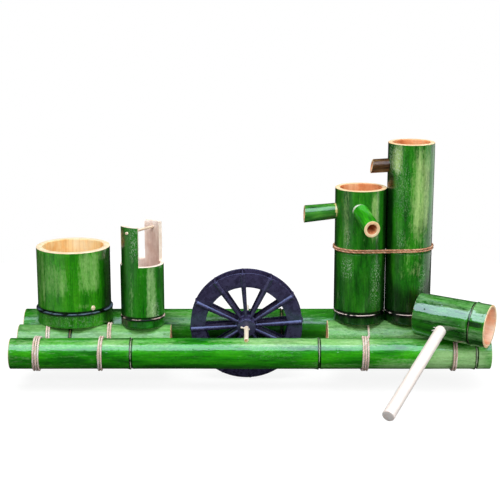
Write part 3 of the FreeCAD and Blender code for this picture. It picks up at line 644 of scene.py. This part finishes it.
def spout(node, tube, material, seed, wall, radii, bore, length, drop, angle, yaw, slope, cut):
    """Thin culm whose root lies inside the tube's wall. It leaves the tube at an angle about its
    axis, drop mm below its top, and runs along yaw and slope. The radius goes from the first to the
    second of radii, and beyond mid length each point slides along the axis by its height times the
    tangent of the cut, which slants the lip."""
    low, size, centre, radius = culm_size(tube, 0)
    turn = math.radians(angle)
    root = np.array([centre[0] + radius * math.cos(turn), centre[1] + radius * math.sin(turn),
                     low[2] + size[2] - drop])
    way = direction(yaw, slope)
    back = wall + SPOUT_TENON
    whole = back + length
    outer = np.linspace(0.8, whole - 0.8, 28)
    rows = [(bore + 0.3, 0, SAWN), (radii[0] - 0.6, 0, SAWN), (radii[0] - 0.1, 0.3, SKIN)]
    rows += [(r, w, SKIN) for r, w in zip(np.interp(outer, [back, whole], radii), outer)]
    rows += [(radii[1] - 0.12, whole - 0.25, SKIN), (radii[1] - 0.6, whole, SAWN), (bore + 0.4, whole, SAWN),
             (bore, whole - 0.4, INSIDE)]
    rows += [(bore, w, INSIDE) for w in np.linspace(whole - 3, 0.4, 8)] + [(bore + 0.3, 0, SAWN)]
    r, w, kind = (np.array(column) for column in zip(*rows))
    up = np.cross(np.cross(way, (0, 0, 1)), way)
    up /= np.linalg.norm(up)
    points, *rest = turned((r, w, kind.astype(int), w - back), root - way * back, way, up, seed,
                           wobble=0.08, columns=64)
    slide = (root - points) @ up * math.tan(math.radians(cut))
    slide *= np.clip((w / whole - 0.45) / 0.5, 0, 1)[:, None]
    skin_mesh(node + "_culm", [(points + slide[..., None] * way, *rest)], (material, sawn, inside), "raft",
              node)


def thin_culm_skin(name, bright, middle, dark, collar, reach, mirror=1.6):
    """Skin of a thin culm: smooth and wet, with streaks 5 mm wide along it. Its root, where it was
    scraped to fit the hole, has the collar's colour as far as reach mm out of the tube."""
    material, tree, surface = new_material(name)
    patch, fibre, edge, dent = (
        add(tree, "TexNoise", Vector=scaled(tree, across, along), Scale=1, Detail=detail, Roughness=rough)
        for across, along, detail, rough in (
            (5, 30, 4, 0.6), (1, 12, 3, 0.55), (3, 3, 4, 0.55), (3, 12, 3, 0.55)))
    patch = add(tree, "ValToRGB", patch, stops=((0.34, dark), (0.5, middle), (0.66, bright)))
    fibre = add(tree, "ValToRGB", fibre, stops=((0.35, "#a0a0a0"), (0.6, "#ffffff")))
    body = add(tree, "Mix", 0.5, in6=patch, in7=fibre, data_type="RGBA", blend_type="MULTIPLY", out=2)
    away = add(tree, "Attribute", attribute_name="ring_mm", out="Fac")
    near = add(tree, "Math", away, add(tree, "MapRange", edge, 0.3, 0.7, -1.2, 1.2), operation="ADD")
    body = add(tree, "Mix", add(tree, "MapRange", near, reach, reach + 1.2), in6=collar, in7=body,
               data_type="RGBA", out=2)
    bump = add(tree, "Bump", Strength=0.3, Distance=0.0005, Height=dent)
    shader = add(tree, "BsdfPrincipled", Base_Color=body, Roughness=0.35, Specular_IOR_Level=0.3,
                 Coat_Weight=1.0, Coat_IOR=mirror, Coat_Roughness=0.08, Normal=bump, Coat_Normal=bump)
    tree.links.new(shader, surface)
    return material


left_skin = thin_culm_skin("left_spout_skin", "#58a838", "#3a8c28", "#1e5c1a", "#e2d48c", 0.8)
bright_skin = thin_culm_skin("front_spout_skin", "#48cc14", "#30ac0a", "#1c8408", "#e8f0dc", -2.6)
brown_skin = thin_culm_skin("tall_spout_skin", "#86683c", "#5c4022", "#2e2010", "#2a2014", -1.0, mirror=1.25)
spout("left_spout", "medium_tube", left_skin, 29, wall=6.0, radii=(11.6, 12.7), bore=7.4, length=47.0,
      drop=35.0, angle=184.0, yaw=183.0, slope=5.5, cut=7.0)
spout("front_spout", "medium_tube", bright_skin, 31, wall=6.0, radii=(11.7, 12.0), bore=7.2, length=48.0,
      drop=31.0, angle=-93.0, yaw=-75.0, slope=19.0, cut=12.0)
spout("tall_spout", "tall_tube", brown_skin, 37, wall=5.5, radii=(10.2, 10.2), bore=6.6, length=25.0,
      drop=34.0, angle=183.0, yaw=182.0, slope=3.0, cut=12.0)

# Twine: four lashings over the raft's culms and a tie round both tubes.
# It is a laid cord of three hemp strands, 3.2 mm thick on the raft and 2.8 mm on the tubes. Each
# piece of twine is one unbroken length. Its fibres stand off in short hairs.
TWINE_D = 3.2
TWINE_PITCH = 3.5
TIE_D = 2.8
TIE_PITCH = 2.6
TIE_CLEAR = 0.9
TWINE_STEP = 0.9
HAIR_EVERY = 4
LASHINGS = ((-315.7, 3, 2), (-221.2, 2, 2), (162.2, 3, 1), (293.2, 2, 1))
HAIR_R = 0.13


def chained(legs, tail):
    """Join stretches of points by cubic curves, whose ends are as fast as the chord is long, and add
    a straight tail at both ends."""
    def end(leg, at):
        step = leg[1] - leg[0] if at == 0 else leg[-1] - leg[-2]
        return leg[at], step / np.linalg.norm(step)
    line = legs[:1]
    s = np.linspace(0, 1, 24)[1:-1, None]
    for leg in legs[1:]:
        (p0, t0), (p1, t1) = end(line[-1], -1), end(leg, 0)
        reach = np.linalg.norm(p1 - p0)
        line += [(2 * s ** 3 - 3 * s ** 2 + 1) * p0 + (s ** 3 - 2 * s ** 2 + s) * t0 * reach
                 + (3 * s ** 2 - 2 * s ** 3) * p1 + (s ** 3 - s ** 2) * t1 * reach, leg]
    line = np.concatenate(line)
    (start, back), (finish, on) = end(line, 0), end(line, -1)
    return np.concatenate([[start - back * tail], line, [finish + on * tail]])


def lashing_line(x, turns, inner_turns):
    """Line of one lashing: turns round the front culm, below the middle one and round it, over the
    rear one. Each leg is a helix: (x + pitch * angle / 360, y + R sin, r + R cos)."""
    middle = "middle_pole_left" if x < 0 else "middle_pole_right"
    legs = []
    for node, way, first, last in (("front_pole", 1, -270, 360 * turns - 270),
                                   (middle, -1, -180, -270 - 360 * inner_turns), ("rear_pole", 1, 90, 180)):
        _, _, (_, y, _), r = culm_size(node, 2)
        if legs:
            x += TWINE_PITCH * (90 if way < 0 else 180) / 360
        angle = np.radians(np.arange(first, last + way, way * 5))
        reach = r + TWINE_D / 2
        run = x + TWINE_PITCH * np.abs(angle - angle[0]) / (2 * math.pi)
        legs.append(np.stack([run, y + reach * np.sin(angle), r + reach * np.cos(angle)], axis=-1))
        x = run[-1]
    return chained(legs, TWINE_D)


def tie_line():
    """Two rounds of the belt about both tubes: arcs of each tube's circle and the straights between
    their common tangents, rising evenly with the length run."""
    foot, _, a, ra = culm_size("medium_tube", 0)
    _, _, b, rb = culm_size("tall_tube", 0)
    off = TIE_D / 2 + TIE_CLEAR
    bearing = math.atan2(b[1] - a[1], b[0] - a[0])
    lean = math.acos((ra - rb) / np.linalg.norm((b - a)[:2]))
    belt = [centre[:2] + (r + off) * np.stack([np.cos(turn), np.sin(turn)], -1) for centre, r, turn in (
        (a, ra, np.linspace(bearing + lean, bearing + 2 * math.pi - lean, 50)),
        (b, rb, np.linspace(bearing - lean, bearing + lean, 50)))]
    belt = np.concatenate(belt * 2)
    step = np.concatenate([[0], np.cumsum(np.linalg.norm(np.diff(belt, axis=0), axis=1))])
    rise = foot[2] + TUBE_RINGS[1] + TIE_D + step * TIE_PITCH / (step[-1] / 2)
    return np.column_stack([belt, rise])


def laid_twine(name, line, radius, lay, across, seed, material, node):
    """Three strands laid together, carried along a line. At angle a round the line the radius is that
    of three touching circles, k cos a + sqrt(b^2 - k^2 sin^2 a) with a within 60 degrees of a
    strand, and the section turns once in each lay. Hairs stand off it at random."""
    chance = np.random.default_rng(seed)
    length = np.concatenate([[0], np.cumsum(np.linalg.norm(np.diff(line, axis=0), axis=1))])
    along = np.linspace(0, length[-1], int(length[-1] / TWINE_STEP))
    line = np.stack([np.interp(along, length, line[:, i]) for i in range(3)], axis=-1)
    ahead = np.gradient(line, axis=0)
    ahead /= np.linalg.norm(ahead, axis=1)[:, None]
    side = across - ahead * (ahead @ across)[:, None]
    side /= np.linalg.norm(side, axis=1)[:, None]
    other = np.cross(ahead, side)
    angle = np.arange(18) * 2 * math.pi / 18
    turn = angle + along[:, None] * 2 * math.pi / lay
    within = (angle + 0 * turn + math.pi / 3) % (2 * math.pi / 3) - math.pi / 3
    k, b = 0.46 * radius, 0.54 * radius
    wide = k * np.cos(within) + np.sqrt(b * b - (k * np.sin(within)) ** 2)
    wide *= 1 + 0.05 * np.sin(along / 7 + seed)[:, None] - 0.04 * chance.random(wide.shape)
    wide[[0, -1]] = 0
    points = (line[:, None] + wide[..., None] * (np.cos(turn)[..., None] * side[:, None]
                                                 + np.sin(turn)[..., None] * other[:, None]))
    grain = np.stack([radius * np.cos(angle) + 0 * turn, radius * np.sin(angle) + 0 * turn,
                      along[:, None] + 0 * turn], axis=-1) * MM + seed
    grids = [(points, np.zeros(len(along), int), along * 0, grain, np.zeros(3))]
    hairs = int(length[-1] / HAIR_EVERY)
    at = chance.integers(3, len(along) - 4, hairs)
    out = chance.uniform(0, 2 * math.pi, hairs)
    push = np.cos(out)[:, None] * side[at] + np.sin(out)[:, None] * other[at]
    lean = ahead[at] * chance.choice([-1, 1], hairs)[:, None]
    s = np.linspace(0, 1, 6)
    size = chance.uniform(2.0, 5.0, hairs)
    lift = chance.uniform(0.15, 0.45, hairs)
    hair = (line[at][:, None] + push[:, None] * (0.8 * radius + size[:, None, None] * lift[:, None, None]
                                                 * s[None, :, None] ** 1.5)
            + lean[:, None] * size[:, None, None] * s[None, :, None])
    lowest, highest = (np.array(corner) / MM for corner in cad_box)
    hair = np.clip(hair, lowest + 0.2, highest - 0.2)
    corner = np.arange(3) * 2 * math.pi / 3
    thick = HAIR_R * np.array([0, 1, 1, 1, 0.8, 0])
    for spine, a, c in zip(hair, push, lean):
        ring = np.cos(corner)[:, None] * a + np.sin(corner)[:, None] * np.cross(c, a)
        grids.append((spine[:, None] + thick[:, None, None] * ring, np.zeros(6, int), np.zeros(6),
                      np.repeat(spine[:, None], 3, axis=1) * MM + seed, np.zeros(3)))
    skin_mesh(name, grids, (material,), "raft", node)


def hemp(name, pale, tan, dark):
    """Damp hemp twine: matt, dull fibres 0.4 mm wide that follow the strands, darker where the twine
    is wettest. The fibres are drawn 0.6 mm wide so that they show."""
    return fibrous(name, (6, 14), ((0.36, dark), (0.5, tan), (0.62, pale)), ("TexNoise", 0.6, 6, 3, 0.6),
                   ((0.32, "#9c8a7c"), (0.6, "#ffffff")), 0.5, (0.6, 0.0004), Roughness=0.75,
                   Sheen_Weight=0.25, Sheen_Roughness=0.5)


pale_twine = hemp("pale_hemp_twine", "#fff6f0", "#fce4d6", "#e6c6b4")
copper_twine = hemp("copper_hemp_twine", "#f0c4a0", "#d89a70", "#a46c48")
for number, winding in enumerate(LASHINGS, 1):
    laid_twine(f"lashing_{number}", lashing_line(*winding), TWINE_D / 2, 11.0, np.array([1.0, 0, 0]), number,
               pale_twine, "raft_lashings")
laid_twine("tube_tie_twine", tie_line(), TIE_D / 2, 7.5, np.array([0, 0, 1.0]), 6, copper_twine, "tube_tie")

# Water wheel: two moulded side plates, blades between them, and a hub.
# It is black plastic, wet, glossy and a little blue, with soft moulded edges and faint scuffs 9 mm
# wide. The ribs on its plates grow wider and higher towards the rim.
PLATE = 2.4
RIB = 1.2
RING_WIDTH = 22.5
WHEEL_R = 83.5
HALF_WIDTH = 11.0
HUB_R = 13.8
HUB_HALF = 20.2
SPOKES = 12
SPOKE_ANGLE = 4.0
BLADE = 2.2
BLADE_LIP = 1.2
MOULDED_EDGE = 0.5
AXLE = np.array([0, math.cos(AXLE_SLOPE), math.sin(AXLE_SLOPE)])
WHEEL_UP = np.array([0, -math.sin(AXLE_SLOPE), math.cos(AXLE_SLOPE)])

material, tree, surface = new_material("moulded_black_plastic")
scuffs, grit = (
    add(tree, "TexNoise", Vector=scaled(tree, cell, cell), Scale=1, Detail=detail, Roughness=rough)
    for cell, detail, rough in ((9, 5, 0.65), (2.5, 4, 0.55)))
shader = add(tree, "BsdfPrincipled", IOR=1.5, Specular_IOR_Level=1.0, Specular_Tint="#b4ccff",
             Coat_Weight=0.3, Coat_IOR=1.6, Coat_Roughness=0.16,
             Base_Color=add(tree, "ValToRGB", scuffs, stops=((0.35, "#2c2740"), (0.65, "#423c5c"))),
             Roughness=add(tree, "MapRange", scuffs, 0.3, 0.7, 0.2, 0.36),
             Normal=add(tree, "Bump", Strength=0.12, Distance=0.0004, Height=grit))
tree.links.new(shader, surface)
plastic = (material,)


def rounded_box(x0, x1, y0, y1, edge):
    """Section of a rectangle whose corners are quarter circles of radius edge."""
    corner = np.linspace(0, math.pi / 2, 4)
    return np.concatenate([np.stack([x + edge * np.cos(corner + k * math.pi / 2),
                                     y + edge * np.sin(corner + k * math.pi / 2)], axis=-1)
                           for x, y, k in ((x1 - edge, y0 + edge, -1), (x1 - edge, y1 - edge, 0),
                                           (x0 + edge, y1 - edge, 1), (x0 + edge, y0 + edge, 2))])


def ring_profile(inner, outer, thick, edge):
    """Closed outline of a flat ring, a rectangle with rounded corners."""
    r, w = rounded_box(inner, outer, 0, thick, edge).T
    r, w = np.append(r, r[0]), np.append(w, w[0])
    return r, w, np.zeros(len(r), int), w * 0 + NO_RING


def bar(start, way, side, length, section, last=None):
    """Straight bar: a closed section, points (u, v) along side and way x side, carried along way and
    growing evenly into the last one if that is given. The ends are drawn in over the last edge mm,
    so that they are rounded, and closed by fans."""
    edge = MOULDED_EDGE
    steps = np.concatenate([[0, 0, edge * 0.3, edge], np.linspace(edge, length - edge, 8)[1:-1],
                            [length - edge, length - edge * 0.3, length, length]])
    section = section + (steps / length)[:, None, None] * ((section if last is None else last) - section)
    middle = section.mean(axis=1)[:, None]
    size = np.abs(section - middle).max()
    end = [0, 1 - edge / size, 1 - 0.3 * edge / size]
    flat = middle + (section - middle) * np.array(end + [1] * 8 + end[::-1])[:, None, None]
    points = start + flat @ np.array([side, np.cross(way, side)]) + steps[:, None, None] * way
    grain = np.concatenate([flat, np.broadcast_to(steps[:, None, None], (*flat.shape[:2], 1))], axis=-1) * MM
    return points, np.zeros(len(steps), int), steps * 0 + NO_RING, grain, np.zeros(3)


def bevelled_rib(width, crown, bevel):
    """Section of a rib on a plate: flat below, flat on top, with a wide bevel down each side."""
    half = width / 2
    right = [(half, 0), (half, PLATE)] + [(half - bevel * back, PLATE + crown * rise)
                                          for back, rise in ((0.1, 0.12), (0.9, 0.95), (1.1, 1.0))]
    return np.array([(-half, 0)] + right + [(-u, v) for u, v in right[:0:-1]])


def spoke_way(number):
    """Unit vector from the wheel's axis along a spoke."""
    angle = math.radians(SPOKE_ANGLE + 360 / SPOKES * number)
    return math.cos(angle) * np.array([1.0, 0, 0]) + math.sin(angle) * WHEEL_UP


for name, way in (("wheel_front_plate", -1), ("wheel_rear_plate", 1)):
    face = AXLE * way
    start = WHEEL_CENTRE + face * (HALF_WIDTH - PLATE)
    grids = [turned(ring_profile(inner, outer, PLATE, MOULDED_EDGE), start, face, (1, 0, 0), seed,
                    wobble=0, columns=columns)
             for inner, outer, seed, columns in ((WHEEL_R - RING_WIDTH, WHEEL_R, 41, 180),
                                                 (HUB_R + 0.1, HUB_R + 3, 42, 72))]
    for spoke in map(spoke_way, range(SPOKES)):
        grids.append(bar(start + spoke * (HUB_R + 0.2), spoke, np.cross(face, spoke), WHEEL_R - 1 - HUB_R,
                         bevelled_rib(4.4, RIB, 1.8), bevelled_rib(8.0, 2.5 * RIB, 3.5)))
    skin_mesh(name + "_moulding", grids, plastic, "wheel", name)

blade = rounded_box(PLATE - HALF_WIDTH, HALF_WIDTH - PLATE, -BLADE / 2, BLADE / 2, MOULDED_EDGE)
grids = [bar(WHEEL_CENTRE + spoke * HUB_R, spoke, AXLE, WHEEL_R + BLADE_LIP - HUB_R, blade)
         for spoke in map(spoke_way, range(SPOKES))]
skin_mesh("wheel_blade_set", grids, plastic, "wheel", "wheel_blades")
hub = turned(ring_profile(AXLE_R + 0.1, HUB_R, 2 * HUB_HALF, 1.2), WHEEL_CENTRE - AXLE * HUB_HALF, AXLE,
             (1, 0, 0), 43, wobble=0, columns=72)
skin_mesh("wheel_hub_moulding", [hub], plastic, "wheel", "wheel_hub")

# Axle and its two pegs: a peeled stick that lies in notches of the long culms, and two thin pegs
# pushed through it that keep the wheel in its place.
AXLE_FRONT = 68.0
AXLE_REAR = 72.0
PEG_R = 1.2
PEG_LENGTH = 14.0
PEG_GAP = 0.5
PEG_PROUD = 1.5
PEG_TILT = math.radians(14.0)
axle_stick = peeled_bamboo("axle_bamboo", "#fff8ea", "#f8e8cc", "#d8b48c", "#d0a070")
axle = turned(rod_profile(AXLE_R, AXLE_FRONT + AXLE_REAR, 0.9), WHEEL_CENTRE - AXLE * AXLE_FRONT, AXLE,
              (1, 0, 0), 47, wobble=0.06, columns=40)
skin_mesh("wheel_axle_stick", [axle], axle_stick, "raft", "wheel_axle")
peg_way = np.array([-math.cos(PEG_TILT), -math.sin(PEG_TILT) * AXLE[2], math.sin(PEG_TILT) * AXLE[1]])
reach = HUB_HALF + PEG_GAP + PEG_R
grids = [turned(rod_profile(PEG_R, PEG_LENGTH, 0.4),
                WHEEL_CENTRE + AXLE * end * reach - peg_way * (AXLE_R + PEG_PROUD), peg_way, AXLE, 53,
                wobble=0.03, columns=20) for end in (-1, 1)]
skin_mesh("axle_peg_pair", grids, axle_stick, "raft", "axle_pegs")

# Ladle: a culm scoop that lies on the front culm, and a round peeled stick through it as handle.
# The scoop is closed by a growth ring; the stem below the ring is left on as a short hollow foot.
LADLE_R = 31.0
LADLE_WALL = 4.5
LADLE_LENGTH = 107.0
LADLE_RING = 23.5
LADLE_MOUTH = np.array([246.4, -44.9, 80.245])
LADLE_SLOPE = 2.9
HANDLE_AT = 44.0
HANDLE_R = 8.7
HANDLE_LENGTH = 201.4
HANDLE_SHOULDER = 1.5
TENON_R = 5.0
ladle_way = direction(-27.4, LADLE_SLOPE)
ladle_skin = bamboo_skin("ladle_skin", "#389c1a", "#22800e", "#0e5208", "#9cd890", "#c8a498", dry=0.2,
                         mirror=1.95, scar=0.5)
# The scoop's lining is paler than a culm's inside: partly painted light on its shaded inner wall.
ladle_inside_painted_light = inner_bamboo("ladle_inside_painted_light", "#ffecda", "#ffd6b6", "#fcb48a")
# The scoop's pale mark on its upper front paints the light from above, pale patches low on its front and by
# its mouth paint reflection, and one small patch is darker.
scoop = turned(culm_profile(LADLE_R, LADLE_WALL, LADLE_LENGTH, [LADLE_RING], (SAWN, SKIN)),
               LADLE_MOUTH + ladle_way * LADLE_LENGTH, -ladle_way,
               np.cross(-ladle_way, (0, 0, 1)) / math.cos(math.radians(LADLE_SLOPE)), 59, marks=(
                   (155, 36, 48, 36, 0.2), (248, 34, 60, 90, 0.55), (235, 50, 12, 20, 0.4),
                   (170, 24, 12, 20, 0.6), (200, 30, 80, 30, 0.2), (195, 12, 14, 16, -1.2)))
skin_mesh("ladle_cup_culm", [scoop], (ladle_skin, sawn, ladle_inside_painted_light), "ladle", "ladle_cup")

# The handle's inner end is a tenon with a shoulder against the scoop's wall, and three splinters
# stand up where it comes out of the other wall.
handle_way = direction(-116, 19.5)
handle_way -= ladle_way * (handle_way @ ladle_way)
handle_way /= np.linalg.norm(handle_way)
inner_end = LADLE_R - LADLE_WALL - HANDLE_SHOULDER
tenon = LADLE_WALL + HANDLE_SHOULDER + 0.2
r, w, kind, _ = rod_profile(HANDLE_R, inner_end + LADLE_R + HANDLE_LENGTH, 1.2)
r = r * np.interp(w, [0, w.max()], [0.92, 1.0])
r = np.concatenate([[0, TENON_R - 0.4, TENON_R, TENON_R], r[1:]])
w = np.concatenate([[0, 0, 0.4, tenon - 0.01], w[1:] + tenon])
kind = np.concatenate([[SAWN, SAWN, SKIN, SKIN], kind[1:]])
handle_point = LADLE_MOUTH + ladle_way * HANDLE_AT
grids = [turned((r, w, kind, w * 0 + NO_RING), handle_point - handle_way * (inner_end + tenon), handle_way,
                ladle_way, 61, wobble=0.0, columns=56)]
for turn, lean, length in ((100, 35, 7.0), (125, 60, 5.0), (150, 20, 6.0)):
    turn, lean = math.radians(turn), math.radians(lean)
    out = math.cos(turn) * -np.cross(handle_way, ladle_way) - math.sin(turn) * ladle_way
    splinter = out * math.sin(lean) + handle_way * math.cos(lean)
    r, w = np.array([(0, 0), (0.6, 0.3), (0.7, 0.4), (0.4, 0.75), (0, 1)]).T
    grids.append(turned((r, w * length, np.zeros(5, int), w * 0 + NO_RING),
                        handle_point + handle_way * (LADLE_R + 1) + out * (HANDLE_R - 1.2), splinter,
                        np.cross(splinter, (0, 0, 1)), 62, wobble=0.0, columns=8))
# The handle's end is near white: painted light on an end that faces down, away from the lamps.
handle_stick = peeled_bamboo("handle_bamboo", "#fffaf4", "#faeee8", "#ecd6cc", "#fbfaf9")
skin_mesh("ladle_handle_stick", grids, handle_stick, "ladle", "ladle_handle")
